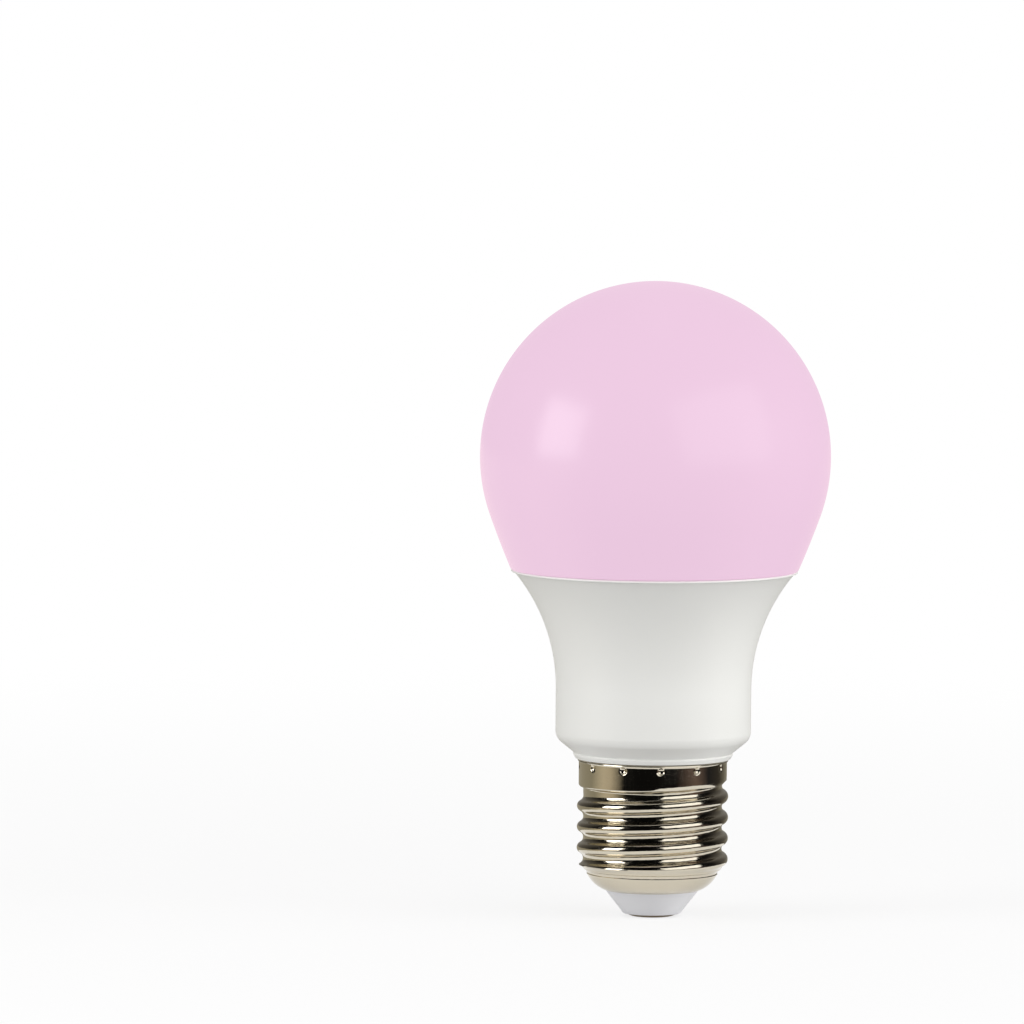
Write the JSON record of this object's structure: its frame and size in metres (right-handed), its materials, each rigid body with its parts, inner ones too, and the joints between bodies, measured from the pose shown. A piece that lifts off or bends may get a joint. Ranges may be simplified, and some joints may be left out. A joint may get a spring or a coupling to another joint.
{
  "type": "smart LED bulb",
  "caption": "Pear-shaped smart LED bulb: opal globe over a flared white housing and a rolled metal screw cap.",
  "frame": {"origin": "middle of the centre contact's flat foot, at the bottom of the cap", "axes": "+Z along the lamp's axis from the contact to the top of the globe, -Y towards the viewer and +X to the right as pictured"},
  "size_m": [0.0606, 0.0606, 0.11],
  "materials": {
    "opal_diffuser": "satin",
    "silicone": "matte",
    "white_housing": "satin",
    "nickel_plated_cap": "polished",
    "cap_insulator": "matte",
    "brass_contact": "satin",
    "aluminium": "satin",
    "white_board": "matte",
    "plated_steel": "satin",
    "cool_phosphor": "gloss",
    "warm_phosphor": "gloss",
    "clear_lens": "gloss",
    "green_board": "satin",
    "capacitor_sleeve": "satin",
    "ferrite": "matte",
    "bobbin_plastic": "matte",
    "winding_tape": "satin",
    "film_capacitor_box": "satin",
    "resistor_coating": "matte",
    "chip_epoxy": "matte",
    "blue_board": "satin",
    "tinned_steel": "satin",
    "copper": "satin",
    "tinned_brass": "satin",
    "lead_insulation": "matte"
  },
  "bodies": {
    "root": {"diffuser": "opal_diffuser", "diffuser_seal": "silicone", "housing": "white_housing", "screw_shell": "nickel_plated_cap", "cap_insulator": "cap_insulator", "center_contact": "brass_contact", "heat_sink": "aluminium", "led_board": "white_board", "board_screws": "plated_steel", "cool_white_leds": "cool_phosphor", "warm_white_leds": "warm_phosphor", "color_leds": "clear_lens", "driver_board": "green_board", "input_capacitor": "capacitor_sleeve", "output_capacitor": "capacitor_sleeve", "transformer_core": "ferrite", "transformer_bobbin": "bobbin_plastic", "transformer_winding": "winding_tape", "film_capacitor": "film_capacitor_box", "fuse_resistor": "resistor_coating", "filter_inductor": "ferrite", "bridge_rectifier": "chip_epoxy", "driver_chip": "chip_epoxy", "chip_resistors": "chip_epoxy", "diodes": "chip_epoxy", "wireless_board": "blue_board", "wireless_shield": "tinned_steel", "antenna": "copper", "link_pins": "tinned_brass", "wireless_pins": "tinned_brass", "live_lead": "lead_insulation", "neutral_lead": "lead_insulation"}
  },
  "joints": []
}
